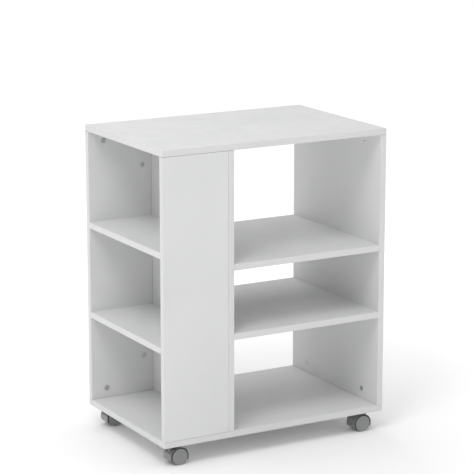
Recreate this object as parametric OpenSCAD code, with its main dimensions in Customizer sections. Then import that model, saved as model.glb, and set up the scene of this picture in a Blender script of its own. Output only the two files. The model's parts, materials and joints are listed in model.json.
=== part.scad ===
// Mobile printer stand: a white open cabinet of 15 mm faced boards on four
// twin-wheel plate casters, put together with cam locks and wood dowels.
// The origin is on the floor under the middle of the cabinet. +X is to the
// right, +Y to the back and +Z up.

/* [Cabinet] */
// Width from side to side
cabinet_w = 600; // [560:10:760]
// Depth from front to back
cabinet_d = 400; // [380:10:500]
// Height from the floor to the top surface
cabinet_h = 750; // [720:10:860]
// Clear width of the left column
column_w = 170; // [150:5:200]

/* [Boards] */
// Thickness of every board
board_t = 15; // [15:1:16]
// Thickness of the edge bands on the edges that show
band_t = 1; // [0.5:0.5:1.5]
// Gap that shows where an upright board meets another board
joint_gap = 0.5; // [0:0.1:0.5]

/* [Shelves] */
// Clear height under the lower shelf of the right bay
right_low_gap = 221; // [200:1:230]
// Clear height between the two shelves of the right bay
right_mid_gap = 151; // [130:1:170]
// Clear height under the lower shelf of the left column
left_low_gap = 209; // [195:1:215]
// Clear height between the two shelves of the left column
left_mid_gap = 209; // [195:1:215]

/* [Fittings] */
// Diameter of a cam lock
cam_d = 15; // [12:1:15]
// Distance from the end of a board to the middle of its cam locks
cam_setback = 25; // [24:1:34]
// Distance from the front or back edge to the nearest cam lock
cam_inset = 71; // [60:1:80]
// Distance from the side edges of the left column to its cams and dowels
column_inset = 41; // [35:1:50]
// Height of the column's side cams above the bottom panel and under the top
column_cam_rise = 94; // [80:1:110]
// Diameter of a wood dowel
dowel_d = 8; // [6:1:8]
// Length of a wood dowel
dowel_l = 30; // [25:5:30]

/* [Casters] */
// Height of a caster from the floor to the cabinet
caster_h = 50; // [50:1:54]
// Distance from the cabinet's edges to a caster's stem
stem_inset = 32; // [28:1:40]
// Distance from the stem to the axle
trail = 15; // [14:0.5:15]
// Diameter of a wheel over its tyre
wheel_d = 40; // [38:1:40]
// Width over both wheels of a caster
caster_w = 40; // [38:1:44]
// Angle that the hood reaches below the axle on each side
hood_wrap = 25; // [15:1:30]
// Side of the square fixing plate
plate_s = 40; // [38:1:44]
// Thickness of the fixing plate
plate_t = 2.5; // [2:0.5:2.5]

/* [Hidden] */
$fn = 64;

// The cabinet's planes
x_left = -cabinet_w / 2;
x_right = cabinet_w / 2;
y_front = -cabinet_d / 2;
y_back = cabinet_d / 2;
z_base = caster_h;
z_floor = z_base + board_t;
z_under = cabinet_h - board_t;
x_column = x_left + column_w;
x_bay = x_column + board_t;
x_inner = x_right - board_t;
y_front_in = y_front + board_t;
y_back_in = y_back - board_t;

// Undersides of the shelves
right_low_z = z_floor + right_low_gap;
right_high_z = right_low_z + board_t + right_mid_gap;
left_low_z = z_floor + left_low_gap;
left_high_z = left_low_z + board_t + left_mid_gap;

// Boards: outer box low corner, high corner, and the banded sides
// [left, right, front, back]
TOP = [[x_left, y_front, z_under], [x_right, y_back, cabinet_h], [1, 1, 1, 1]];
BOTTOM = [[x_left, y_front, z_base], [x_right, y_back, z_floor], [1, 1, 1, 1]];
function upright(x0, x1, y0, y1, sides) =
    [[x0, y0, z_floor + joint_gap], [x1, y1, z_under - joint_gap], sides];
RIGHT_SIDE = upright(x_inner, x_right, y_front, y_back, [0, 0, 1, 1]);
DIVIDER = upright(x_column, x_bay, y_front, y_back, [0, 0, 1, 1]);
FRONT = upright(x_left, x_column - joint_gap, y_front, y_front_in, [1, 0, 0, 0]);
REAR = upright(x_left, x_column - joint_gap, y_back_in, y_back, [1, 0, 0, 0]);
function right_shelf(z) = [[x_bay, y_front, z], [x_inner, y_back, z + board_t], [0, 0, 1, 1]];
function left_shelf(z) = [[x_left, y_front_in, z], [x_column, y_back_in, z + board_t], [1, 0, 0, 0]];
RIGHT_UPPER = right_shelf(right_high_z);
RIGHT_LOWER = right_shelf(right_low_z);
LEFT_UPPER = left_shelf(left_high_z);
LEFT_LOWER = left_shelf(left_low_z);

// Fittings. Each is [point, direction, normal]: the point where its axis
// crosses the joint, the way from the drilled end into the other board, and
// the outward normal of the face that its cam lock is set in.
fit_gap = 0.05;
dowel_step = 32;
cam_y = cabinet_d / 2 - cam_inset;
dowel_y = cam_y - dowel_step;
cam_x = x_left + column_inset;
dowel_x = x_column - column_inset;
UP = [0, 0, 1];
FRONT_TO_BACK = [0, 1, 0];
LEFT_TO_RIGHT = [1, 0, 0];
ENDS = [[z_under, 1], [z_floor, -1]];
half_t = board_t / 2;

// Upright boards to the top and bottom panels
function deep_ends(x, normal, y) =
    [for (e = ENDS) for (s = [-1, 1]) [[x, s * y, e[0]], e[1] * UP, normal]];
function narrow_ends(x, y, normal) = [for (e = ENDS) [[x, y, e[0]], e[1] * UP, normal]];
// Front and rear panels to the divider
function column_sides(y, normal, heights) =
    [for (z = heights) [[x_column, y, z], LEFT_TO_RIGHT, normal]];
// Shelves to the boards beside them; their cam locks are underneath
function right_shelf_ends(z, y) =
    [for (e = [[x_inner, 1], [x_bay, -1]]) for (s = [-1, 1])
        [[e[0], s * y, z + half_t], e[1] * LEFT_TO_RIGHT, -UP]];
function left_shelf_ends(z, x) =
    [for (e = [[y_back_in, 1], [y_front_in, -1]]) [[x, e[0], z + half_t], e[1] * FRONT_TO_BACK, -UP]];
function left_shelf_side(z) = [[[x_column, 0, z + half_t], LEFT_TO_RIGHT, -UP]];

side_cam_heights = [z_floor + column_cam_rise, z_under - column_cam_rise];
front_mid_y = y_front + half_t;
rear_mid_y = y_back - half_t;
right_side_cams = deep_ends(x_right - half_t, -LEFT_TO_RIGHT, cam_y);
right_side_dowels = deep_ends(x_right - half_t, -LEFT_TO_RIGHT, dowel_y);
divider_cams = deep_ends(x_column + half_t, LEFT_TO_RIGHT, cam_y);
divider_dowels = deep_ends(x_column + half_t, LEFT_TO_RIGHT, dowel_y);
function column_cams(y, normal) =
    concat(narrow_ends(cam_x, y, normal), column_sides(y, normal, side_cam_heights));
function column_dowels(y, normal) =
    concat(narrow_ends(dowel_x, y, normal), column_sides(y, normal, [(z_floor + z_under) / 2]));
front_cams = column_cams(front_mid_y, FRONT_TO_BACK);
front_dowels = column_dowels(front_mid_y, FRONT_TO_BACK);
rear_cams = column_cams(rear_mid_y, -FRONT_TO_BACK);
rear_dowels = column_dowels(rear_mid_y, -FRONT_TO_BACK);
function left_shelf_dowels(z) = concat(left_shelf_ends(z, dowel_x), left_shelf_side(z));
right_shelf_heights = [right_high_z, right_low_z];
left_shelf_heights = [left_high_z, left_low_z];
all_cams = concat(right_side_cams, divider_cams, front_cams, rear_cams,
    [for (z = right_shelf_heights) each right_shelf_ends(z, cam_y)],
    [for (z = left_shelf_heights) each left_shelf_ends(z, cam_x)]);
all_dowels = concat(right_side_dowels, divider_dowels, front_dowels, rear_dowels,
    [for (z = right_shelf_heights) each right_shelf_ends(z, dowel_y)],
    [for (z = left_shelf_heights) each left_shelf_dowels(z)]);
// The fittings that enter the plane where coordinate axis has this value
function entering(list, axis, value) = [for (f = list) if (f[0][axis] == value) f];

// Cam lock, its bolt, and their holes
cam_h = 12;
cam_sink = 0.2;
pocket_depth = 12.7;
recess_l = 9;
recess_w = 1.6;
recess_depth = 2.2;
head_r = 3.4;
head_l = 3;
neck_r = 2;
neck_end = 8.5;
shank_r = 3.5;
thread_r = 2.5;
thread_l = 11;
tip_l = 1.5;
edge_hole_r = 4;
hole_spare = 0.5;
bolt_start = 1;

// Dowel: how much of it is in the face of the other board
dowel_in_face = 10.5;
dowel_chamfer = 1;

// Caster
wheel_r = wheel_d / 2;
z_axle = wheel_r;
web_half = 6;
wheel_side_gap = 0.75;
wheel_in = web_half + wheel_side_gap;
wheel_out = caster_w / 2;
wheel_w = wheel_out - wheel_in;
disc_t = 3;
disc_r = wheel_r - 0.3;
disc_round = 0.6;
dish_r = 16.5;
dish_depth = 0.4;
dish_slope = 1;
rim_r = 17;
rim_wall = 2.5;
hub_r = 7;
rib_t = 1.6;
ribs = 6;
rim_start = 0.5;
tyre_round = 1;
axle_r = 3;
axle_end_gap = 0.25;
bore_depth = wheel_w - disc_t;
axle_half = wheel_in + bore_depth - axle_end_gap;
hood_in = wheel_r + 2.2;
hood_out = wheel_r + 3.8;
hood_half = wheel_out - 1.5;
hood_chamfer = 0.4;
web_overlap = 0.5;
hood_low = -hood_out * sin(hood_wrap);
z_plate = caster_h - plate_t;
boss_r = web_half - 0.2;
collar_r = 5.5;
collar_t = 0.7;
collar_gap = 0.3;
z_boss = z_plate - collar_t - collar_gap;
stem_r = 3.5;
stem_l = 32;
z_stem_end = z_plate - stem_l;
socket_spare = 1.5;
rivet_r = 4.6;
rivet_t = 1;
ring_z = z_axle + 4;
ring_t = 1;
ring_in = 3;
ring_out = 4.6;
ring_gap_angle = 50;
groove_r = 2.9;
groove_spare = 0.2;
plate_corner = 5;
plate_hole_r = 2.25;
hole_step = 13.5;
screw_r = 1.75;
screw_l = 14;
screw_head_r = 3.4;
screw_head_t = 2;
screw_round = 0.9;
screw_slot_l = 4;
screw_slot_w = 0.9;
screw_slot_depth = 1.1;

// Casters: name, side in X, side in Y. At rest each stem is outside its axle.
CASTERS = [["fl", -1, -1], ["fr", 1, -1], ["rl", -1, 1], ["rr", 1, 1]];
CASTER_PIECES = ["plate", "stem", "ring", "hood", "axle",
    "wheel_left", "wheel_right", "tyre_left", "tyre_right"];
BOARDS = ["top_panel", "bottom_panel", "right_side_panel", "divider_panel", "front_panel",
    "rear_panel", "right_upper_shelf", "right_lower_shelf", "left_upper_shelf",
    "left_lower_shelf"];

board_colour = [0.93, 0.93, 0.93];
band_colour = [0.95, 0.95, 0.95];
cam_colour = [0.72, 0.72, 0.74];
steel_colour = [0.68, 0.69, 0.71];
plate_colour = [0.10, 0.10, 0.11];
dowel_colour = [0.80, 0.66, 0.45];
hood_colour = [0.28, 0.28, 0.29];
wheel_colour = [0.56, 0.57, 0.58];
tyre_colour = [0.13, 0.13, 0.14];

// Points of a quarter circle, for rounding the corner of a profile
function quarter(centre, r, start) =
    [for (i = [0:6]) centre + r * [cos(start + 15 * i), sin(start + 15 * i)]];

// ---- Boards and edge bands ----

// Moves a fitting's children from its own axes, with +X into the other board
// and +Z out of the cam's face, to its place
module at_fitting(f) {
    side = cross(f[2], f[1]);
    multmatrix([
        [f[1].x, side.x, f[2].x, f[0].x],
        [f[1].y, side.y, f[2].y, f[0].y],
        [f[1].z, side.z, f[2].z, f[0].z],
        [0, 0, 0, 1]
    ]) children();
}

// A cylinder along X between two values
module rod(x0, x1, r) {
    translate([x0, 0, 0]) rotate([0, 90, 0]) cylinder(r = r, h = x1 - x0);
}

module box(lo, hi) {
    translate(lo) cube(hi - lo);
}

// A board's core, without its edge bands and before drilling
module core(board) {
    inset = band_t * board[2];
    box(board[0] + [inset[0], inset[2], 0], board[1] - [inset[1], inset[3], 0]);
}

// One strip on each banded edge. Front and back strips run the full length.
module edge_bands(board) {
    lo = board[0];
    hi = board[1];
    sides = board[2];
    y0 = lo.y + band_t * sides[2];
    y1 = hi.y - band_t * sides[3];
    color(band_colour) {
        if (sides[0] == 1) box([lo.x, y0, lo.z], [lo.x + band_t, y1, hi.z]);
        if (sides[1] == 1) box([hi.x - band_t, y0, lo.z], [hi.x, y1, hi.z]);
        if (sides[2] == 1) box(lo, [hi.x, y0, hi.z]);
        if (sides[3] == 1) box([lo.x, y1, lo.z], hi);
    }
}

// Holes in the board that holds the cam locks: pocket and end bore
module cam_holes(list) {
    for (f = list) at_fitting(f) {
        translate([-cam_setback, 0, half_t - pocket_depth])
            cylinder(d = cam_d, h = pocket_depth + 1);
        rod(-cam_setback + cam_d / 4, 1, edge_hole_r);
    }
}

// Holes that the bolts are screwed into
module bolt_holes(list) {
    for (f = list) at_fitting(f) rod(-1, thread_l + hole_spare, thread_r + fit_gap);
}

// Dowel holes in the end of a board
module dowel_end_holes(list) {
    for (f = list) at_fitting(f)
        rod(dowel_in_face - dowel_l - hole_spare, 1, dowel_d / 2 + fit_gap);
}

// Dowel holes in the face of a board
module dowel_face_holes(list) {
    for (f = list) at_fitting(f) rod(-1, dowel_in_face + hole_spare, dowel_d / 2 + fit_gap);
}

// A board that is drilled for its own fittings and for those that enter it
module drilled_board(board, cams, dowels, bolts_in = [], dowels_in = []) {
    color(board_colour) difference() {
        core(board);
        cam_holes(cams);
        dowel_end_holes(dowels);
        bolt_holes(bolts_in);
        dowel_face_holes(dowels_in);
    }
}

module top_panel() {
    drilled_board(TOP, [], [], entering(all_cams, 2, z_under), entering(all_dowels, 2, z_under));
}

module bottom_panel() {
    difference() {
        drilled_board(BOTTOM, [], [],
            entering(all_cams, 2, z_floor), entering(all_dowels, 2, z_floor));
        for (c = CASTERS) at_stem(c) at_plate_holes()
            translate([0, 0, z_plate]) cylinder(r = screw_r + fit_gap, h = screw_l + hole_spare);
    }
}

module right_side_panel() {
    drilled_board(RIGHT_SIDE, right_side_cams, right_side_dowels,
        entering(all_cams, 0, x_inner), entering(all_dowels, 0, x_inner));
}

module divider_panel() {
    drilled_board(DIVIDER, divider_cams, divider_dowels,
        concat(entering(all_cams, 0, x_column), entering(all_cams, 0, x_bay)),
        concat(entering(all_dowels, 0, x_column), entering(all_dowels, 0, x_bay)));
}

module front_panel() {
    drilled_board(FRONT, front_cams, front_dowels,
        entering(all_cams, 1, y_front_in), entering(all_dowels, 1, y_front_in));
}

module rear_panel() {
    drilled_board(REAR, rear_cams, rear_dowels,
        entering(all_cams, 1, y_back_in), entering(all_dowels, 1, y_back_in));
}

module right_upper_shelf() {
    drilled_board(RIGHT_UPPER,
        right_shelf_ends(right_high_z, cam_y), right_shelf_ends(right_high_z, dowel_y));
}

module right_lower_shelf() {
    drilled_board(RIGHT_LOWER,
        right_shelf_ends(right_low_z, cam_y), right_shelf_ends(right_low_z, dowel_y));
}

module left_upper_shelf() {
    drilled_board(LEFT_UPPER, left_shelf_ends(left_high_z, cam_x), left_shelf_dowels(left_high_z));
}

module left_lower_shelf() {
    drilled_board(LEFT_LOWER, left_shelf_ends(left_low_z, cam_x), left_shelf_dowels(left_low_z));
}

// ---- Fittings ----

// The cam is a disc with a socket for the bolt's head and a cross recess
module cam_lock() {
    bottom = half_t - cam_sink - cam_h;
    translate([-cam_setback, 0, 0]) difference() {
        translate([0, 0, bottom]) cylinder(r = cam_d / 2 - fit_gap, h = cam_h);
        rod(0, cam_d, head_r + 2 * fit_gap);
        for (a = [45, 135]) rotate([0, 0, a])
            translate([-recess_l / 2, -recess_w / 2, bottom + cam_h - recess_depth])
                cube([recess_l, recess_w, recess_depth + 1]);
    }
}

module cam_locks() {
    color(cam_colour) for (f = all_cams) at_fitting(f) cam_lock();
}

// The bolt, as a profile turned about its axis
module cam_bolt() {
    start = bolt_start - cam_setback;
    neck = start + head_l;
    shank = start + neck_end;
    rotate([0, 90, 0]) rotate_extrude() polygon([
        [0, start], [head_r, start], [head_r, neck], [neck_r, neck], [neck_r, shank],
        [shank_r, shank], [shank_r, 0], [thread_r, 0], [thread_r, thread_l - tip_l],
        [0, thread_l]
    ]);
}

module cam_bolts() {
    color(steel_colour) for (f = all_cams) at_fitting(f) cam_bolt();
}

module wood_dowel() {
    r = dowel_d / 2;
    x0 = dowel_in_face - dowel_l;
    rotate([0, 90, 0]) rotate_extrude() polygon([
        [0, x0], [r - dowel_chamfer, x0], [r, x0 + dowel_chamfer],
        [r, dowel_in_face - dowel_chamfer], [r - dowel_chamfer, dowel_in_face],
        [0, dowel_in_face]
    ]);
}

module wood_dowels() {
    color(dowel_colour) for (f = all_dowels) at_fitting(f) wood_dowel();
}

// ---- Casters: origin on the floor under the stem, axle towards +X ----

module at_stem(c) {
    translate([c[1] * (x_right - stem_inset), c[2] * (y_back - stem_inset), 0])
        rotate([0, 0, c[1] < 0 ? 0 : 180]) children();
}

module at_plate_holes() {
    for (x = [-1, 1]) for (y = [-1, 1]) translate([x * hole_step, y * hole_step, 0]) children();
}

// Turns a profile about the axle: its x becomes the radius, its y runs
// outwards along the axle, to the left (-1) or to the right (+1)
module at_axle(side) {
    translate([trail, 0, z_axle]) rotate([-90 * side, 0, 0]) children();
}

module caster_screw() {
    difference() {
        rotate_extrude() polygon(concat(
            [[0, -screw_head_t]],
            quarter([screw_head_r - screw_round, screw_round - screw_head_t], screw_round, -90),
            [[screw_head_r, 0], [screw_r, 0], [screw_r, screw_l - tip_l], [0, screw_l]]));
        for (a = [0, 90]) rotate([0, 0, a])
            translate([-screw_slot_l / 2, -screw_slot_w / 2, -screw_head_t - 1])
                cube([screw_slot_l, screw_slot_w, screw_slot_depth + 1]);
    }
}

module caster_screws() {
    color(steel_colour) for (c = CASTERS) at_stem(c) at_plate_holes()
        translate([0, 0, z_plate]) caster_screw();
}

module plate() {
    side = plate_s - 2 * plate_corner;
    color(plate_colour) translate([0, 0, z_plate]) difference() {
        union() {
            translate([-plate_s / 2, -side / 2, 0]) cube([plate_s, side, plate_t]);
            translate([-side / 2, -plate_s / 2, 0]) cube([side, plate_s, plate_t]);
            for (x = [-1, 1]) for (y = [-1, 1]) translate([x * side / 2, y * side / 2, 0])
                cylinder(r = plate_corner, h = plate_t);
        }
        at_plate_holes() translate([0, 0, -1]) cylinder(r = plate_hole_r, h = plate_t + 2);
        translate([0, 0, -1]) cylinder(r = stem_r + fit_gap, h = plate_t + 2);
        translate([0, 0, plate_t - rivet_t])
            cylinder(r1 = stem_r + fit_gap, r2 = rivet_r + fit_gap, h = rivet_t + 0.001);
    }
}

// Stem riveted into the plate, with a collar under it and a groove for the ring
module stem() {
    color(steel_colour) rotate_extrude() polygon([
        [0, z_stem_end], [stem_r - 1, z_stem_end], [stem_r, z_stem_end + 1],
        [stem_r, ring_z - groove_spare], [groove_r, ring_z - groove_spare],
        [groove_r, ring_z + ring_t + groove_spare], [stem_r, ring_z + ring_t + groove_spare],
        [stem_r, z_plate - collar_t], [collar_r, z_plate - collar_t], [collar_r, z_plate],
        [stem_r, z_plate], [stem_r, caster_h - rivet_t], [rivet_r, caster_h], [0, caster_h]
    ]);
}

// Open snap ring that holds the hood on the stem
module ring() {
    color(steel_colour) rotate([0, 0, ring_gap_angle / 2])
        rotate_extrude(angle = 360 - ring_gap_angle)
            translate([ring_in, ring_z]) square([ring_out - ring_in, ring_t]);
}

// Web between the wheels, with the fender over both and the stem's socket
module hood() {
    color(hood_colour) difference() {
        union() {
            at_axle(1) rotate([0, 0, 180 - hood_wrap])
                rotate_extrude(angle = 180 + 2 * hood_wrap) polygon([
                    [hood_in, -hood_half], [hood_out - hood_chamfer, -hood_half],
                    [hood_out, hood_chamfer - hood_half], [hood_out, hood_half - hood_chamfer],
                    [hood_out - hood_chamfer, hood_half], [hood_in, hood_half]
                ]);
            intersection() {
                at_axle(1) translate([0, 0, -web_half])
                    cylinder(r = hood_in + web_overlap, h = 2 * web_half);
                translate([trail - hood_out, -hood_out, z_axle + hood_low])
                    cube(2 * hood_out);
            }
            translate([0, 0, z_axle]) cylinder(r = boss_r, h = z_boss - z_axle);
        }
        translate([0, 0, z_stem_end - socket_spare])
            cylinder(r = stem_r + fit_gap, h = caster_h);
        translate([0, 0, ring_z - fit_gap])
            cylinder(r = ring_out + fit_gap, h = ring_t + 2 * fit_gap);
        at_axle(1) translate([0, 0, -hood_out]) cylinder(r = axle_r + fit_gap / 2, h = 2 * hood_out);
    }
}

module axle() {
    color(steel_colour) at_axle(1) translate([0, 0, -axle_half])
        cylinder(r = axle_r, h = 2 * axle_half);
}

// Hub, ribs, rim and the covering disc with its shallow dish
module wheel(side) {
    disc_in = wheel_out - disc_t;
    hollow_w = disc_in - wheel_in;
    color(wheel_colour) at_axle(side) difference() {
        union() {
            translate([0, 0, wheel_in]) cylinder(r = hub_r, h = hollow_w + 1);
            translate([0, 0, wheel_in + rim_start]) difference() {
                cylinder(r = rim_r, h = hollow_w);
                translate([0, 0, -1]) cylinder(r = rim_r - rim_wall, h = hollow_w + 1);
            }
            for (i = [0 : ribs - 1]) rotate([0, 0, i * 360 / ribs])
                translate([hub_r - 1, -rib_t / 2, wheel_in + 2 * rim_start])
                    cube([rim_r - rim_wall - hub_r + 2, rib_t, hollow_w]);
            rotate_extrude() polygon(concat(
                [[0, disc_in], [disc_r, disc_in]],
                quarter([disc_r - disc_round, wheel_out - disc_round], disc_round, 0),
                [[dish_r + dish_slope, wheel_out], [dish_r, wheel_out - dish_depth],
                    [0, wheel_out - dish_depth]]));
        }
        translate([0, 0, wheel_in - 1]) cylinder(r = axle_r + fit_gap, h = bore_depth + 1);
    }
}

// Tread ring behind the disc
module tyre(side) {
    inner = wheel_in + rim_start;
    outer = wheel_out - disc_t;
    r = rim_r + fit_gap;
    color(tyre_colour) at_axle(side) rotate_extrude() polygon(concat(
        [[r, outer], [r, inner]],
        quarter([wheel_r - tyre_round, inner + tyre_round], tyre_round, -90),
        quarter([wheel_r - tyre_round, outer - tyre_round], tyre_round, 0)));
}

module caster_piece(c, piece) {
    at_stem(c) {
        if (piece == "plate") plate();
        if (piece == "stem") stem();
        if (piece == "ring") ring();
        if (piece == "hood") hood();
        if (piece == "axle") axle();
        if (piece == "wheel_left") wheel(-1);
        if (piece == "wheel_right") wheel(1);
        if (piece == "tyre_left") tyre(-1);
        if (piece == "tyre_right") tyre(1);
    }
}

top_panel();
bottom_panel();
right_side_panel();
divider_panel();
front_panel();
rear_panel();
right_upper_shelf();
right_lower_shelf();
left_upper_shelf();
left_lower_shelf();
edge_bands(TOP);  // top_panel_edge_band
edge_bands(BOTTOM);  // bottom_panel_edge_band
edge_bands(RIGHT_SIDE);  // right_side_panel_edge_band
edge_bands(DIVIDER);  // divider_panel_edge_band
edge_bands(FRONT);  // front_panel_edge_band
edge_bands(REAR);  // rear_panel_edge_band
edge_bands(RIGHT_UPPER);  // right_upper_shelf_edge_band
edge_bands(RIGHT_LOWER);  // right_lower_shelf_edge_band
edge_bands(LEFT_UPPER);  // left_upper_shelf_edge_band
edge_bands(LEFT_LOWER);  // left_lower_shelf_edge_band
cam_locks();
cam_bolts();
wood_dowels();
caster_screws();
for (c = CASTERS) for (p = CASTER_PIECES)
    caster_piece(c, p);
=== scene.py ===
# %% [markdown]
# # Mobile printer stand
#
# The stand is a white flat-pack cabinet on four twin-wheel casters. Its packed
# model already has every board, fitting and caster at its true size and place.
# This lesson gives it its looks: faced board with chip cores, rounded edge
# bands, cast cam locks, zinc-plated steel, moulded nylon and soft tread.
# Everything is in metres, in the model's own frame: +X to the right, +Y to the
# back, +Z up, with the origin on the floor under the middle of the cabinet.

# %% Load the frame
import json

import bmesh
import bpy
import numpy as np
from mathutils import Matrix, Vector

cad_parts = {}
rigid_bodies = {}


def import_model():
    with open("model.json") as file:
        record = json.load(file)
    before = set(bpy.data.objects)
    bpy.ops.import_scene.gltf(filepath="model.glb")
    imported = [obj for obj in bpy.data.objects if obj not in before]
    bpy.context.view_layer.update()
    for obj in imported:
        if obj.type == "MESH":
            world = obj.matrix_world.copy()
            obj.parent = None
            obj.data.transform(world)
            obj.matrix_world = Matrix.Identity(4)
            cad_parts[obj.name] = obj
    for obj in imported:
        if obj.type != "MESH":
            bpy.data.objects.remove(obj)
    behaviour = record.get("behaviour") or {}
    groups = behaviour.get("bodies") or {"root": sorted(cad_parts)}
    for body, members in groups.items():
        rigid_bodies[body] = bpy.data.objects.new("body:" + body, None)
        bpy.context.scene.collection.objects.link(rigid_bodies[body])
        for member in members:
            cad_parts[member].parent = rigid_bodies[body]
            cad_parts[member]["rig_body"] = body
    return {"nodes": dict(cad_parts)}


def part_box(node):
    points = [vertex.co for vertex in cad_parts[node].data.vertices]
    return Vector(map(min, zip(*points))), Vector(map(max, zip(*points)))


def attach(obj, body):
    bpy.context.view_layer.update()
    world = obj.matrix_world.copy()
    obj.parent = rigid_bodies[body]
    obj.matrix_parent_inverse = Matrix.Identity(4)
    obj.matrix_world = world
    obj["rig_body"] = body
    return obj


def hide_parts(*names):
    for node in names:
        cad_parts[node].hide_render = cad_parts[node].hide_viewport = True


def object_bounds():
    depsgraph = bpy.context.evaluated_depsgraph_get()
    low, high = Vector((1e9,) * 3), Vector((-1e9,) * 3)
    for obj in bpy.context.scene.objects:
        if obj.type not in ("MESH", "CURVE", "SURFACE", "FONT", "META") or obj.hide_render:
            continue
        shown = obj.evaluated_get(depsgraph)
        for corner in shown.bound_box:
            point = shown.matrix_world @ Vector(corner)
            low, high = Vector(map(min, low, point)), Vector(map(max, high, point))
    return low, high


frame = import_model()
nodes = frame["nodes"]
cad_low, cad_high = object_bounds()
MM = 0.001
print("CAD box in mm:", [round(v / MM, 1) for v in (*cad_low, *cad_high)])

# %% [markdown]
# ## Camera
#
# The stand is seen from its left front corner, a little from above. A long
# lens from five metres away keeps its uprights nearly parallel, as a furniture
# catalogue would. The camera could be aimed by a constraint or by hand. Here it
# is placed by turning a line back from the point that it looks at, so two
# angles and a distance say where it stands.

# %% Place the camera
CAMERA_AZIMUTH = np.radians(-29.51)
CAMERA_ELEVATION = np.radians(12.9)
CAMERA_DISTANCE = 5.0145
CAMERA_LENS_MM = 157.7
LOOK_RIGHT = 0.0053
LOOK_UP = 0.1037


def away(azimuth, elevation):
    """Unit vector from the stand: azimuth 0 is the front, elevation is above the floor."""
    flat = np.cos(elevation)
    return Vector((np.sin(azimuth) * flat, -np.cos(azimuth) * flat, np.sin(elevation)))


middle = (cad_low + cad_high) / 2
look_at = middle + Vector((LOOK_RIGHT, 0, LOOK_UP))
camera = bpy.data.objects.new("camera", bpy.data.cameras.new("camera"))
camera.data.lens = CAMERA_LENS_MM
back = away(CAMERA_AZIMUTH, CAMERA_ELEVATION)
camera.location = look_at + back * CAMERA_DISTANCE
camera.rotation_mode = "QUATERNION"
camera.rotation_quaternion = (-back).to_track_quat("-Z", "Y")
bpy.context.collection.objects.link(camera)
bpy.context.scene.camera = camera
print("camera at", [round(v, 3) for v in camera.location])

# %% [markdown]
# ## Sky
#
# A white object on a white floor is drawn by its shading alone, so the light
# has to come mostly from above and be uneven round the sides. An even sky
# would flatten the cabinet, and lamps alone would throw hard shadows. The sky
# here is a sum of four soft lobes: a strong one overhead, a weaker one on the
# left, and faint ones at the front and the right. Like the floor and the
# finishes, it is built from shader nodes. One helper adds a node, sets its
# options and fills its inputs, either with a value or from another node.

# %% Sky of soft lobes
SKY_LOBES = [((0, 0, 1), 1.33), ((-1, 0, 0), 0.44), ((0, -1, 0), 0.11), ((1, 0, 0), 0.08)]


def new_node(tree, kind, links=None, **settings):
    """Adds a shader node. links maps an input to a value or to another node's output."""
    made = tree.nodes.new(kind)
    for key, value in settings.items():
        setattr(made, key, value)
    for key, value in (links or {}).items():
        if isinstance(value, bpy.types.NodeSocket):
            tree.links.new(value, made.inputs[key])
        else:
            made.inputs[key].default_value = value
    return made


def lobed_sky(tree, lobes):
    """Sky strength in direction d: the sum of weight x max(0, d . axis) over the lobes."""
    towards = new_node(tree, "ShaderNodeTexCoord").outputs["Generated"]
    total = 0.0
    for axis, weight in lobes:
        facing = new_node(tree, "ShaderNodeVectorMath", {0: towards, 1: axis},
                          operation="DOT_PRODUCT").outputs["Value"]
        ahead = new_node(tree, "ShaderNodeMath", {0: facing, 1: 0.0},
                         operation="MAXIMUM").outputs[0]
        total = new_node(tree, "ShaderNodeMath", {0: ahead, 1: weight, 2: total},
                         operation="MULTIPLY_ADD").outputs[0]
    return total


scene = bpy.context.scene
scene.view_settings.view_transform = "Standard"
sky = bpy.data.worlds.new("studio_sky")
scene.world = sky
sky.use_nodes = True
sky.node_tree.nodes.clear()
lit = new_node(sky.node_tree, "ShaderNodeBackground",
               {"Strength": lobed_sky(sky.node_tree, SKY_LOBES)})
new_node(sky.node_tree, "ShaderNodeOutputWorld", {"Surface": lit.outputs[0]})
print("sky of", len(SKY_LOBES), "lobes")

# %% [markdown]
# ## Lamps
#
# Two large lamps, one beyond the left front corner and one behind, open up the
# compartments. Their size keeps their shadows soft. A lamp's power could be set
# by eye, but then it would have to be set again each time that the lamp moves.
# So it is worked out from the brightness that the lamp adds to a white sheet
# lying on the floor.

# %% Two large lamps
LAMP_DISTANCE = 3.2


def lamp(name, azimuth, off_vertical, size, distance, brightness):
    """Square lamp that adds the given brightness to a white sheet lying under it.

    A sheet at distance d from a lamp of power P gets P cos(a) / (pi d^2), and a
    white sheet shows that over pi, so P = brightness pi^2 d^2 / cos(a).
    """
    made = bpy.data.objects.new(name, bpy.data.lights.new(name, "AREA"))
    towards = away(np.radians(azimuth), np.radians(90 - off_vertical))
    made.data.size = size
    made.data.energy = (brightness * (np.pi * distance) ** 2
                        / np.cos(np.radians(off_vertical)))
    made.location = middle + towards * distance
    made.rotation_mode = "QUATERNION"
    made.rotation_quaternion = (-towards).to_track_quat("-Z", "Y")
    bpy.context.collection.objects.link(made)


lamp("left_lamp", azimuth=-50, off_vertical=40, size=1.1, distance=LAMP_DISTANCE,
     brightness=0.17)
lamp("back_lamp", azimuth=172, off_vertical=42, size=1.2, distance=LAMP_DISTANCE,
     brightness=0.094)

# %% [markdown]
# ## Floor
#
# The floor glows faintly near the stand, which is painted light that lifts its
# shadow a little but keeps it deep, and it glows more farther out, so that it
# fades to white. A stronger sky would whiten the floor too, but it would burn out
# the boards. So the glow is in the floor's own shader, and follows the distance
# from the middle of the stand.

# %% Floor that fades to white
FLOOR_HALF = 40.0
FLOOR_WHITE = (0.96, 0.96, 0.96, 1)
FLOOR_ROUGHNESS = 0.9
NEAR, FAR = 0.25, 1.6
# The faint glow near the stand is painted light in the floor's shadow.
NEAR_GLOW, FAR_GLOW = 0.05, 0.22

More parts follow.
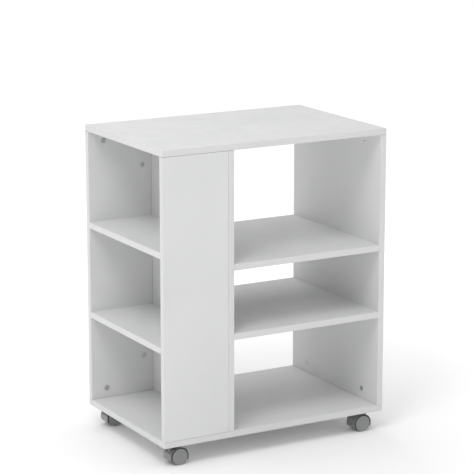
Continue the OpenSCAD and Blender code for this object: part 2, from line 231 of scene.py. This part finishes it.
corners = np.array([[-1, -1], [1, -1], [1, 1], [-1, 1]]) * FLOOR_HALF
floor_mesh = bpy.data.meshes.new("floor")
floor_mesh.from_pydata([(x, y, 0.0) for x, y in corners], [], [(0, 1, 2, 3)])
floor = bpy.data.objects.new("floor", floor_mesh)
bpy.context.collection.objects.link(floor)
floor_paint = bpy.data.materials.new("pale_floor")
floor_paint.use_nodes = True
floor_shader = floor_paint.node_tree.nodes["Principled BSDF"]
floor_shader.inputs["Base Color"].default_value = FLOOR_WHITE
floor_shader.inputs["Roughness"].default_value = FLOOR_ROUGHNESS
floor_shader.inputs["Specular IOR Level"].default_value = 0.0
floor_shader.inputs["Emission Color"].default_value = (1, 1, 1, 1)
spot = new_node(floor_paint.node_tree, "ShaderNodeTexCoord").outputs["Object"]
reach = new_node(floor_paint.node_tree, "ShaderNodeVectorMath", {0: spot}, operation="LENGTH")
fade = new_node(floor_paint.node_tree, "ShaderNodeMapRange", {
    "Value": reach.outputs["Value"], "From Min": NEAR, "From Max": FAR,
    "To Min": NEAR_GLOW, "To Max": FAR_GLOW}, interpolation_type="SMOOTHSTEP")
floor_paint.node_tree.links.new(fade.outputs["Result"],
                                floor_shader.inputs["Emission Strength"])
floor_mesh.materials.append(floor_paint)
print("floor glows from", NEAR_GLOW, "near the stand to", FAR_GLOW, "far away")

# %% [markdown]
# ## A start for every finish
#
# Each finish is a Principled shader whose colour, roughness and bump come from
# noise. Painted textures would need every piece to be unwrapped first. Noise on
# Object coordinates needs no map, and as they are metres in the model's frame,
# a grain has its true size. Numbers that are the same all over are set on the
# shader itself.

# %% Helpers for finishes
NOISE_LOW, NOISE_HIGH = 0.25, 0.75


def new_finish(name, metallic=0.0, specular=0.5):
    """An empty finish: returns the material, its node tree and its shader."""
    made = bpy.data.materials.new(name)
    made.use_nodes = True
    shader = made.node_tree.nodes["Principled BSDF"]
    shader.inputs["Metallic"].default_value = metallic
    shader.inputs["Specular IOR Level"].default_value = specular
    return made, made.node_tree, shader


def object_place(tree, centre=(0, 0, 0)):
    """Object coordinates in metres, measured from a centre."""
    coordinates = new_node(tree, "ShaderNodeTexCoord").outputs["Object"]
    moved = new_node(tree, "ShaderNodeVectorMath", {0: coordinates, 1: tuple(centre)},
                     operation="SUBTRACT").outputs[0]
    return new_node(tree, "ShaderNodeMapping", {"Vector": moved}).outputs[0]


def noise(tree, place, per_metre, detail=2.0, roughness=0.5):
    """Smooth noise between 0 and 1 with so many blobs to a metre."""
    return new_node(tree, "ShaderNodeTexNoise", {
        "Vector": place, "Scale": per_metre, "Detail": detail,
        "Roughness": roughness}).outputs["Fac"]


def between(tree, factor, low, high):
    """A number that goes softly from low to high over the noise's usual span."""
    return new_node(tree, "ShaderNodeMapRange", {
        "Value": factor, "From Min": NOISE_LOW, "From Max": NOISE_HIGH,
        "To Min": low, "To Max": high}, interpolation_type="SMOOTHSTEP").outputs["Result"]


def blend_colour(tree, factor, first, second):
    """Mixes two colours, each an RGB triple or another node's output."""
    made = tree.nodes.new("ShaderNodeMix")
    made.data_type = "RGBA"
    sockets = (made.inputs[0], made.inputs[6], made.inputs[7])
    for socket, value in zip(sockets, (factor, first, second)):
        if isinstance(value, bpy.types.NodeSocket):
            tree.links.new(value, socket)
        else:
            socket.default_value = value if isinstance(value, float) else (*value, 1.0)
    return made.outputs[2]


def cloudy(tree, clouds, first, second):
    """A colour that drifts between two with the clouds."""
    return blend_colour(tree, between(tree, clouds, 0.0, 1.0), first, second)


def bump(tree, height, depth, strength=1.0, under=None):
    """Raises the surface by depth metres where the height is 1, over another bump."""
    inputs = {"Height": height, "Distance": depth, "Strength": strength}
    if under is not None:
        inputs["Normal"] = under
    return new_node(tree, "ShaderNodeBump", inputs).outputs[0]


def grey(value, tint=0.0):
    """A neutral colour, cooler for a positive tint."""
    return (value * (1 - tint), value, value * (1 + tint))


def wire(tree, shader, colour, roughness, normal):
    """Feeds a finish's colour, roughness and bump into its shader."""
    for key, output in (("Base Color", colour), ("Roughness", roughness), ("Normal", normal)):
        tree.links.new(output, shader.inputs[key])


print("noise is read from", NOISE_LOW, "to", NOISE_HIGH)

# %% [markdown]
# ## Faced board
#
# The boards are wood chips pressed with glue, faced on both sides with white
# melamine paper as thin as a hair. The face has a faint pearl texture, soft
# marks where hands and boxes have polished it, and hardly any colour. The
# chips show only where a board is cut or drilled. They could be a second
# material on the cut faces, but each cut would have to be found and marked. So
# one finish makes both: a mask is 1 on the two faces and 0 between them,
# measured along the board's thickness.

# %% White melamine over chips
PAPER_T = 0.3 * MM
CHIPS_PER_METRE = 260.0
CHIP_DEPTH = 0.3 * MM
CORE_ROUGHNESS = 0.9
# The chip tones are darker than bare chipboard. This is partly the chips' own colour, and
# partly painted shade that deepens the thin joint lines where a core shows.
CHIP_DARK, CHIP_PALE = (0.16, 0.11, 0.07), (0.40, 0.30, 0.19)
BOARDS = [name for name in nodes if name.endswith(("_panel", "_shelf"))]


def board_finish(board):
    """White faces and a chip core for one board, measured from its own middle."""
    low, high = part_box(board)
    size = high - low
    axis = min(range(3), key=lambda i: size[i])
    finish, tree, shader = new_finish("white_board_" + board, specular=0.45)
    place = object_place(tree, (low + high) / 2)
    along = new_node(tree, "ShaderNodeSeparateXYZ", {"Vector": place}).outputs[axis]
    depth = new_node(tree, "ShaderNodeMath", {0: along}, operation="ABSOLUTE").outputs[0]
    faced = new_node(tree, "ShaderNodeMath", {0: depth, 1: size[axis] / 2 - PAPER_T},
                     operation="GREATER_THAN").outputs[0]
    clouds = noise(tree, place, per_metre=5, detail=3)
    rubbed = noise(tree, place, per_metre=34, detail=5, roughness=0.65)
    pearl = noise(tree, place, per_metre=1300, detail=1)
    chips = new_node(tree, "ShaderNodeTexVoronoi", {"Vector": place, "Scale": CHIPS_PER_METRE})
    chip_tone = new_node(tree, "ShaderNodeSeparateColor",
                         {"Color": chips.outputs["Color"]}).outputs[0]
    paper = cloudy(tree, clouds, grey(0.735, 0.004), grey(0.765, 0.002))
    core = blend_colour(tree, chip_tone, CHIP_DARK, CHIP_PALE)
    sheen = between(tree, rubbed, 0.36, 0.48)
    rough = new_node(tree, "ShaderNodeMix", {"Factor": faced, "A": CORE_ROUGHNESS, "B": sheen})
    chipped = new_node(tree, "ShaderNodeMix",
                       {"Factor": faced, "A": chips.outputs["Distance"], "B": 0.0})
    grained = bump(tree, pearl, depth=0.03 * MM, strength=0.35)
    wire(tree, shader,
         colour=blend_colour(tree, faced, core, paper),
         roughness=rough.outputs[0],
         normal=bump(tree, chipped.outputs[0], CHIP_DEPTH, under=grained))
    return finish


def dress(node, finish):
    """Puts a finish on a CAD node in place of the one it was packed with."""
    slots = nodes[node].data.materials
    slots.clear()
    slots.append(finish)


for board in BOARDS:
    dress(board, board_finish(board))
print(len(BOARDS), "boards faced")

# %% [markdown]
# ## Edge band plastic
#
# The edges that show are closed with a strip of white plastic, one millimetre
# thick, glued on and trimmed by a cutter. It is a touch shinier than the
# paper, and the cutter leaves very fine lines along its length. The lines
# follow the strip. On Object coordinates they would run one way on every
# strip, so they are read from the strip's own UV map, in which u runs along it
# in metres.

# %% White edge band
LINES_ALONG, LINES_ACROSS = 14.0, 2600.0


def band_finish():
    """White strip with fine lines along it."""
    finish, tree, shader = new_finish("white_edge_band")
    uv = new_node(tree, "ShaderNodeTexCoord").outputs["UV"]
    stretched = new_node(tree, "ShaderNodeMapping", {
        "Vector": uv, "Scale": (LINES_ALONG, LINES_ACROSS, 1.0)}).outputs[0]
    lines = noise(tree, stretched, per_metre=1.0)
    clouds = noise(tree, object_place(tree), per_metre=7)
    wire(tree, shader,
         colour=cloudy(tree, clouds, grey(0.71), grey(0.735, 0.002)),
         roughness=between(tree, lines, 0.30, 0.40),
         normal=bump(tree, lines, depth=0.02 * MM, strength=0.5))
    return finish


BAND = band_finish()
print("made", BAND.name)

# %% [markdown]
# ## Metals
#
# There are two bare metals. The cam locks are cast from zinc, so they are a
# dull grey with a slightly mottled skin. The bolts, the screws and the steel of
# the casters are plated with zinc, which is brighter and has a faint cloudy
# spangle. Both could be one grey metal, but a cast and a plated skin scatter
# light differently, so they are told apart by roughness and bump. The casters'
# fixing plates are drawn near black with a fine orange peel, and are not a
# metallic surface.

# %% Cast zinc, plated steel and near-black plates
METAL_CLOUD = 0.86


def metal_finish(name, tone, rough_low, rough_high, mottle_per_metre, mottle_depth):
    """Metal with cloudy tone and a mottled skin."""
    finish, tree, shader = new_finish(name, metallic=1.0)
    place = object_place(tree)
    clouds = noise(tree, place, per_metre=240, detail=3)
    mottle = noise(tree, place, mottle_per_metre)
    wire(tree, shader,
         colour=cloudy(tree, clouds, grey(tone * METAL_CLOUD, 0.01), grey(tone, 0.015)),
         roughness=between(tree, clouds, rough_low, rough_high),
         normal=bump(tree, mottle, mottle_depth))
    return finish


# Near-black, non-metallic finish for the casters' fixing plates.
def near_black_finish():
    """Near black and not metallic: nearly even, with worn, paler clouds."""
    finish, tree, shader = new_finish("near_black_plate", specular=0.4)
    place = object_place(tree)
    clouds = noise(tree, place, per_metre=130, detail=3)
    peel = noise(tree, place, per_metre=1500, detail=1)
    wire(tree, shader,
         colour=cloudy(tree, clouds, grey(0.014), grey(0.026, 0.02)),
         roughness=between(tree, clouds, 0.38, 0.52),
         normal=bump(tree, peel, depth=0.02 * MM))
    return finish


CAST_ZINC = metal_finish("cast_zinc", tone=0.72, rough_low=0.34, rough_high=0.5,
                         mottle_per_metre=1900, mottle_depth=0.03 * MM)
PLATED_STEEL = metal_finish("plated_steel", tone=0.70, rough_low=0.22, rough_high=0.36,
                            mottle_per_metre=5200, mottle_depth=0.006 * MM)
BLACK_STEEL = near_black_finish()
print("made", CAST_ZINC.name, PLATED_STEEL.name, BLACK_STEEL.name)

# %% [markdown]
# ## Beech, nylon and tread
#
# The dowels are turned beech. The hoods and wheels are moulded nylon in two
# greys, both with the fine even grain that a mould leaves. The hoods are dark
# and glossy, so they mirror the pale floor where they face it at a slant and
# look nearly black elsewhere. A paler, duller hood would be an even grey all
# round and lose that contrast. The wheels are a paler satin grey. The tread is
# a softer, darker plastic, which is matt and picks up pale dust.

# %% Dowel wood, moulded nylon and tread
BEECH_FLECK, BEECH_PALE = (0.42, 0.27, 0.14), (0.68, 0.50, 0.31)
NYLON_CLOUD, NYLON_SPREAD = 0.95, 0.03
COAT_ROUGHNESS = 0.15
DUST_COVER = 0.7


def beech_finish():
    """Pale wood with short dark flecks."""
    finish, tree, shader = new_finish("beech_dowel", specular=0.3)
    place = object_place(tree)
    flecks = noise(tree, place, per_metre=900, detail=4, roughness=0.7)
    wire(tree, shader,
         colour=cloudy(tree, flecks, BEECH_FLECK, BEECH_PALE),
         roughness=between(tree, flecks, 0.55, 0.7),
         normal=bump(tree, flecks, depth=0.05 * MM))
    return finish


def nylon_finish(name, tone, rough, specular=0.5, coat=0.0):
    """Moulded plastic: even colour, fine grain, and as much gloss as asked for."""
    finish, tree, shader = new_finish(name, specular=specular)
    shader.inputs["Coat Weight"].default_value = coat
    shader.inputs["Coat Roughness"].default_value = COAT_ROUGHNESS
    place = object_place(tree)
    clouds = noise(tree, place, per_metre=60, detail=3)
    grain = noise(tree, place, per_metre=3600, detail=1)
    wire(tree, shader,
         colour=cloudy(tree, clouds, grey(tone * NYLON_CLOUD, 0.01), grey(tone, 0.012)),
         roughness=between(tree, clouds, rough - NYLON_SPREAD, rough + NYLON_SPREAD),
         normal=bump(tree, grain, depth=0.02 * MM, strength=0.6))
    return finish


def tread_finish():
    """Dark matt plastic with patches of pale dust."""
    finish, tree, shader = new_finish("dark_tread", specular=0.3)
    place = object_place(tree)
    dust = noise(tree, place, per_metre=320, detail=4, roughness=0.7)
    grain = noise(tree, place, per_metre=2400)
    cover = between(tree, dust, 0.0, DUST_COVER)
    wire(tree, shader,
         colour=blend_colour(tree, cover, grey(0.030), grey(0.075, -0.02)),
         roughness=between(tree, dust, 0.62, 0.85),
         normal=bump(tree, grain, depth=0.04 * MM))
    return finish


BEECH = beech_finish()
HOOD_NYLON = nylon_finish("hood_nylon", tone=0.155, rough=0.26, specular=1.0, coat=0.6)
WHEEL_NYLON = nylon_finish("wheel_nylon", tone=0.30, rough=0.42)
TREAD = tread_finish()
print("made", BEECH.name, HOOD_NYLON.name, WHEEL_NYLON.name, TREAD.name)

# %% [markdown]
# ## Surfaces from arrays
#
# Strips, wheels and tyres have the same section all along. A curve with a
# bevel object or a Screw modifier could make them, but a loft gives full say
# over the points and their UV map. A closed profile is repeated along a path,
# and each ring is joined to the next with quads. A strip has flat caps at its
# ends, and a turned piece is a loft whose path closes on itself. Whole arrays
# hold the points, so no loop runs over vertices. Points that meet on an axis
# are merged, which closes the poles.

# %% Loft and arc


def loft(rings, closed_path=False):
    """Joins rings of points, an array (rings, points, 3), into one closed shell.

    Quad (i, j) joins points j and j + 1 of rings i and i + 1. The UV map has
    the distance along the path as u and the distance round the profile as v.
    """
    count, around = rings.shape[:2]
    spans = count if closed_path else count - 1
    i, j = np.meshgrid(np.arange(spans), np.arange(around), indexing="ij")
    i2, j2 = (i + 1) % count, (j + 1) % around
    quads = np.stack([i * around + j, i * around + j2, i2 * around + j2, i2 * around + j], -1)
    faces = quads.reshape(-1, 4).tolist()
    steps = np.linalg.norm(np.diff(rings.mean(1), axis=0, append=rings[:1].mean(1)), axis=1)
    u = np.concatenate([[0.0], np.cumsum(steps)])
    edges = np.linalg.norm(np.roll(rings[0], -1, axis=0) - rings[0], axis=1)
    v = np.concatenate([[0.0], np.cumsum(edges)])
    corner_u = np.stack([u[i], u[i], u[i + 1], u[i + 1]], -1)
    corner_v = np.stack([v[j], v[j + 1], v[j + 1], v[j]], -1)
    uv = np.stack([corner_u, corner_v], -1).reshape(-1, 2)
    if not closed_path:
        ring = np.arange(around)
        faces += [ring[::-1].tolist(), (ring + (count - 1) * around).tolist()]
        cap_uv = np.stack([np.zeros(around), v[:-1]], -1)
        uv = np.concatenate([uv, cap_uv, cap_uv])
    return {"points": rings.reshape(-1, 3), "faces": faces, "uv": uv}


def arc(centre, radius, start, end, steps=6):
    """Points of an arc: centre + radius (cos a, sin a), a from start to end in degrees."""
    a = np.radians(np.linspace(start, end, steps + 1))[:, None]
    return np.array(centre) + radius * np.hstack([np.cos(a), np.sin(a)])


print("a quarter arc has", len(arc((0, 0), 1.0, 0, 90)), "points")

# %% [markdown]
# ## From shells to pieces
#
# A piece is one mesh of one or more closed shells. Its doubled points are
# merged before its normals are worked out, and an edge stays sharp only where
# its two faces meet at a real corner. The piece rides on the body of the node
# that it stands for, and that node is hidden.

# %% Mesh and piece
SHARP_ANGLE = np.radians(32)
MERGE = 1e-7


def clean(mesh):
    """Merges points that meet, turns all faces outwards and keeps real corners sharp."""
    work = bmesh.new()
    work.from_mesh(mesh)
    bmesh.ops.remove_doubles(work, verts=work.verts, dist=MERGE)
    bmesh.ops.recalc_face_normals(work, faces=work.faces)
    work.to_mesh(mesh)
    work.free()
    mesh.shade_smooth()
    mesh.set_sharp_from_angle(angle=SHARP_ANGLE)


def add_piece(name, mesh, finish, stands_for):
    """Makes a piece of a mesh. It stands for a CAD node and rides on that node's body."""
    made = bpy.data.objects.new(name, mesh)
    bpy.context.collection.objects.link(made)
    mesh.materials.append(finish)
    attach(made, nodes[stands_for]["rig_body"])
    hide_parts(stands_for)
    return made


def shell_piece(name, shells, finish, stands_for):
    """One piece of one or more closed shells."""
    starts = np.cumsum([0] + [len(s["points"]) for s in shells])
    faces = [[k + start for k in face]
             for s, start in zip(shells, starts) for face in s["faces"]]
    mesh = bpy.data.meshes.new(name)
    mesh.from_pydata(np.concatenate([s["points"] for s in shells]).tolist(), [], faces)
    layer = mesh.uv_layers.new(name="along")
    layer.data.foreach_set("uv", np.concatenate([s["uv"] for s in shells]).ravel())
    clean(mesh)
    add_piece(name, mesh, finish, stands_for)


print("corners stay sharp above", round(np.degrees(SHARP_ANGLE)), "degrees")

# %% [markdown]
# ## Edge bands
#
# A trimmed band has its two long corners rounded to about the band's own
# thickness, which is what gives a board its soft bright line. A Bevel modifier
# would round the glued edges as well, and open a groove beside the board. So
# each strip is lofted with the right profile. Where it ends at an open corner
# of the top or bottom panel, that end is rounded too.

# %% One strip
BAND_ROUND = 0.75 * MM
END_RINGS = 7


def strip(low, high, out_axis, out_sign, length_axis, round_ends):
    """A strip with rounded outer corners.

    The profile is a rectangle, depth by height, whose two outer corners are
    arcs of radius r. It is carried along the length, and at a rounded end no
    point stands further out than depth - r + r sin(a) at r - r cos(a) in.
    """
    height_axis = 3 - out_axis - length_axis
    depth = high[out_axis] - low[out_axis]
    half = (high[height_axis] - low[height_axis]) / 2
    r = BAND_ROUND
    profile = np.concatenate([
        [[0, -half]], arc((depth - r, r - half), r, -90, 0),
        arc((depth - r, half - r), r, 0, 90), [[0, half]]])
    a = np.radians(np.linspace(0, 90, END_RINGS)) if round_ends else np.array([np.pi / 2])
    inward = r - r * np.cos(a) if round_ends else np.zeros(1)
    limit = depth - r + r * np.sin(a)
    length = high[length_axis] - low[length_axis]
    stations = np.concatenate([inward, length - inward[::-1]])
    limits = np.concatenate([limit, limit[::-1]])
    out = np.minimum(profile[None, :, 0], limits[:, None])
    rings = np.zeros((len(stations), len(profile), 3))
    glued = low[out_axis] if out_sign > 0 else high[out_axis]
    rings[..., out_axis] = glued + out_sign * out
    rings[..., height_axis] = (low[height_axis] + high[height_axis]) / 2 + profile[None, :, 1]
    rings[..., length_axis] = low[length_axis] + stations[:, None]
    return loft(rings)


print("bands are rounded to", round(BAND_ROUND / MM, 2), "mm")

# %% [markdown]
# ## Which edges have a band
#
# The banded sides could be listed by hand, but the frame knows them. A board's
# core and its band together give the board's full outline. A side where the
# two boxes differ has a strip, and its thickness is the difference.
# The top and bottom panels are banded all round: their front and back strips
# run the full width, and the side strips fit between them.

# %% Strips for every banded board


def strips_of(board):
    """All the strips of one board, front and back first."""
    core_low, core_high = map(np.array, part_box(board))
    band_low, band_high = map(np.array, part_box(board + "_edge_band"))
    low, high = np.minimum(core_low, band_low), np.maximum(core_high, band_high)
    thin = int(np.argmin(high - low))
    all_round = bool((low[:2] < core_low[:2] - MERGE).all())
    shells = []
    for out_axis in (1, 0):
        if out_axis == thin:
            continue
        for sign in (-1, 1):
            inner = core_low[out_axis] if sign < 0 else core_high[out_axis]
            outer = low[out_axis] if sign < 0 else high[out_axis]
            if abs(outer - inner) < MERGE:
                continue
            strip_low, strip_high = low.copy(), high.copy()
            strip_low[out_axis], strip_high[out_axis] = min(inner, outer), max(inner, outer)
            if out_axis == 0:
                strip_low[1], strip_high[1] = core_low[1], core_high[1]
            shells.append(strip(strip_low, strip_high, out_axis, sign,
                                length_axis=3 - out_axis - thin,
                                round_ends=all_round and out_axis == 1))
    return shells


for board in BOARDS:
    band = board + "_edge_band"
    shells = strips_of(board)
    shell_piece("rounded_" + band, shells, BAND, band)
    print(band, len(shells), "strips")

# %% [markdown]
# ## Wheels and tyres
#
# A wheel is a hub with a blind bore, a rim for the tyre, six ribs between them,
# and a disc that covers the open side. The disc has a raised ring round a
# shallow dish with a low cap in its middle, and its edge is rounded. It could
# be stacked from cylinders, but they would meet in seams. So everything round
# about the axle is one profile turned about it.

# %% Turned profile of a wheel
AROUND = 96
BORE_R = 3.05 * MM
HUB_R = 7.0 * MM
RIM_WALL = 2.5 * MM
RIM_R = 17.0 * MM
RIM_INSET = 0.5 * MM
DISC_T = 3.0 * MM
DISC_ROUND = 0.6 * MM
RING_INNER_R = 16.5 * MM
DISH_DEPTH = 0.4 * MM
CAP_R = 4.2 * MM
CAP_EDGE_RISE, CAP_MIDDLE_RISE = 0.35 * MM, 0.45 * MM
SOFT_EDGE = 0.4 * MM


def turned(profile, centre, out_sign):
    """Turns a closed profile (radius, outward) about an axle along Y.

    Point k at angle a is at (x + r cos(a), y + sign w, z + r sin(a)).
    """
    a = np.linspace(0, 2 * np.pi, AROUND, endpoint=False)[:, None]
    r, w = profile[None, :, 0], profile[None, :, 1]
    y = np.broadcast_to(centre[1] + out_sign * w, (AROUND, len(profile)))
    rings = np.stack([centre[0] + r * np.cos(a), y, centre[2] + r * np.sin(a)], -1)
    return loft(rings, closed_path=True)


def wheel_profile(radius, width):
    """Half section of a wheel: bore, hub, hollow, rim, and the covering disc."""
    disc_in = width - DISC_T
    rim_in = RIM_R - RIM_WALL
    face = width - DISH_DEPTH
    edge = SOFT_EDGE
    return np.concatenate([
        [[0, disc_in], [BORE_R, disc_in], [BORE_R, 0]],
        arc((HUB_R - edge, edge), edge, -90, 0, 3),
        [[HUB_R, disc_in], [rim_in, disc_in], [rim_in, RIM_INSET]],
        [[RIM_R, RIM_INSET], [RIM_R, disc_in]],
        arc((radius - edge, disc_in + edge), edge, -90, 0, 3),
        arc((radius - DISC_ROUND, width - DISC_ROUND), DISC_ROUND, 0, 90),
        arc((RING_INNER_R + DISH_DEPTH + edge, width - edge), edge, 90, 135, 3),
        arc((RING_INNER_R - edge, face + edge), edge, -45, -90, 3),
        arc((CAP_R + edge, face + edge), edge, -90, -135, 3),
        [[CAP_R - edge, face + CAP_EDGE_RISE], [0, face + CAP_MIDDLE_RISE]],
    ])


print("a wheel is turned in", AROUND, "steps")

# %% [markdown]
# ## Ribs
#
# Six ribs hold the rim on the hub. Each is a small slab that is lofted from
# the hub to the rim, and it sinks a little way into both and into the disc, as
# pieces moulded in one shot have no gap between them.

# %% Ribs of a wheel
RIB_T = 1.6 * MM
RIB_START = 1.0 * MM
RIB_SINK = 0.5 * MM
RIBS = 6


def ribs_of(centre, out_sign, width):
    """Ribs between the hub and the rim, each a slab lofted outwards from the hub."""
    half, w0, w1 = RIB_T / 2, RIB_START, width - DISC_T + RIB_SINK
    section = np.array([[-half, w0], [half, w0], [half, w1], [-half, w1]])
    reach = np.array([HUB_R - RIB_SINK, RIM_R - RIM_WALL + RIB_SINK])
    shells = []
    for a in np.arange(RIBS) * 2 * np.pi / RIBS:
        r, t, w = reach[:, None], section[None, :, 0], section[None, :, 1]
        x = centre[0] + r * np.cos(a) - t * np.sin(a)
        z = centre[2] + r * np.sin(a) + t * np.cos(a)
        y = np.broadcast_to(centre[1] + out_sign * w, x.shape)
        shells.append(loft(np.stack([x, y, z], -1)))
    return shells


print(RIBS, "ribs a wheel,", round(RIB_T / MM, 1), "mm thick")

# %% [markdown]
# ## Tyres
#
# The tyre is a ring pushed on the rim behind the disc. Its shoulders are
# rounded and its tread is slightly crowned, so that it touches the floor near
# the middle and swivels easily. A torus would be quick, but it has no flat
# inside to sit on the rim, so the tyre is turned as well.

# %% Profile of a tyre
SHOULDER_R = 1.3 * MM
CROWN = 0.1 * MM
TYRE_FIT = 0.05 * MM
TREAD_POINTS = 9


def tyre_profile(radius, low, high):
    """Half section of a tyre: flat inside, rounded shoulders, and a crowned tread.

    The tread's radius at w is radius - crown t^2, where t goes from -1 to 1
    between the shoulders.
    """
    across = np.linspace(low + SHOULDER_R, high - SHOULDER_R, TREAD_POINTS)
    bulge = 1 - ((across - (low + high) / 2) / ((high - low) / 2 - SHOULDER_R)) ** 2
    tread = np.stack([radius - CROWN + CROWN * bulge, across], -1)
    inner = RIM_R + TYRE_FIT
    r = radius - CROWN - SHOULDER_R
    return np.concatenate([
        [[inner, high], [inner, low]],
        arc((r, low + SHOULDER_R), SHOULDER_R, -90, 0)[:-1], tread,
        arc((r, high - SHOULDER_R), SHOULDER_R, 0, 90)[1:]])


print("tyres fit with", round(TYRE_FIT / MM, 2), "mm to spare")

# %% [markdown]
# ## Eight wheels
#
# The frame gives each wheel's and tyre's box, so their middles, radii and
# widths are read from it. The open side of a wheel faces the hood's web, so
# the disc is on the side away from the hood's middle.

# %% Turn every wheel and tyre
CASTERS = ("fl", "fr", "rl", "rr")
SIDES = ("left", "right")

for caster in CASTERS:
    for side in SIDES:
        wheel, tyre = (f"caster_{caster}_{part}_{side}" for part in ("wheel", "tyre"))
        low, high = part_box(wheel)
        tyre_low, tyre_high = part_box(tyre)
        hood_low, hood_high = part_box(f"caster_{caster}_hood")
        out = 1 if low.y + high.y > hood_low.y + hood_high.y else -1
        inner_y = low.y if out > 0 else high.y
        centre = ((low.x + high.x) / 2, inner_y, (low.z + high.z) / 2)
        width = high.y - low.y
        disc = turned(wheel_profile((high.z - low.z) / 2, width), centre, out)
        shell_piece(f"turned_{wheel}", [disc, *ribs_of(centre, out, width)],
                    WHEEL_NYLON, wheel)
        tyre_in = min(abs(tyre_low.y - inner_y), abs(tyre_high.y - inner_y))
        section = tyre_profile((tyre_high.z - tyre_low.z) / 2,
                               tyre_in, tyre_in + tyre_high.y - tyre_low.y)
        shell_piece(f"turned_{tyre}", [turned(section, centre, out)],
                    TREAD, tyre)
print("turned", 2 * len(CASTERS) * len(SIDES), "wheels and tyres")

# %% [markdown]
# ## Softened corners
#
# Stamped, headed and cast pieces have no knife edges. They could be modelled
# again, but their CAD shapes are right. So each is copied, the loose triangles
# of the copy are merged, flat faces are joined up again, and a small bevel goes
# round every real corner.
# The bevel's width follows the process: widest on a stamped plate, narrower on
# a cast lock, narrowest on a screw's head.

# %% Softened copies of CAD shapes
FLAT_ANGLE = np.radians(0.5)
BEVEL_ANGLE = np.radians(38)
BEVEL_SEGMENTS = 2
PLATE_BEVEL, LOCK_BEVEL, SCREW_BEVEL = 0.2 * MM, 0.15 * MM, 0.1 * MM


def softened(name, bevel, finish):
    """A merged copy of a CAD node with a bevel of the given width on its corners."""
    source = nodes[name].data
    points = np.empty(len(source.vertices) * 3)
    source.vertices.foreach_get("co", points)
    corners = np.empty(len(source.loops), int)
    source.loops.foreach_get("vertex_index", corners)
    grid = np.round(points.reshape(-1, 3) / MERGE).astype(np.int64)
    _, first, same = np.unique(grid, axis=0, return_index=True, return_inverse=True)
    mesh = bpy.data.meshes.new("softened_" + name)
    triangles = same.ravel()[corners].reshape(-1, 3)
    whole = (triangles != np.roll(triangles, 1, axis=1)).all(axis=1)
    mesh.from_pydata(points.reshape(-1, 3)[first].tolist(), [], triangles[whole].tolist())
    mesh.validate()
    work = bmesh.new()
    work.from_mesh(mesh)
    bmesh.ops.dissolve_limit(work, angle_limit=FLAT_ANGLE, verts=work.verts, edges=work.edges)
    work.to_mesh(mesh)
    work.free()
    mesh.shade_smooth()
    mesh.set_sharp_from_angle(angle=SHARP_ANGLE)
    made = add_piece("softened_" + name, mesh, finish, name)
    edge = made.modifiers.new("edge", "BEVEL")
    edge.width = bevel
    edge.segments = BEVEL_SEGMENTS
    edge.limit_method = "ANGLE"
    edge.angle_limit = BEVEL_ANGLE
    edge.harden_normals = True


for caster in CASTERS:
    softened(f"caster_{caster}_plate", PLATE_BEVEL, BLACK_STEEL)
softened("cam_locks", LOCK_BEVEL, CAST_ZINC)
softened("caster_screws", SCREW_BEVEL, PLATED_STEEL)
print("softened", len(CASTERS) + 2, "nodes")

# %% [markdown]
# ## Finishes of the remaining CAD pieces
#
# Bolts, dowels, stems, axles and snap rings are inside other pieces, and the
# hoods have their moulded chamfers in the CAD shape. All of them stay as they
# are and only get their finish.

# %% Dress the hoods and the inner fittings
dress("cam_bolts", PLATED_STEEL)
dress("wood_dowels", BEECH)
for caster in CASTERS:
    dress(f"caster_{caster}_hood", HOOD_NYLON)
    for part in ("stem", "axle", "ring"):
        dress(f"caster_{caster}_{part}", PLATED_STEEL)
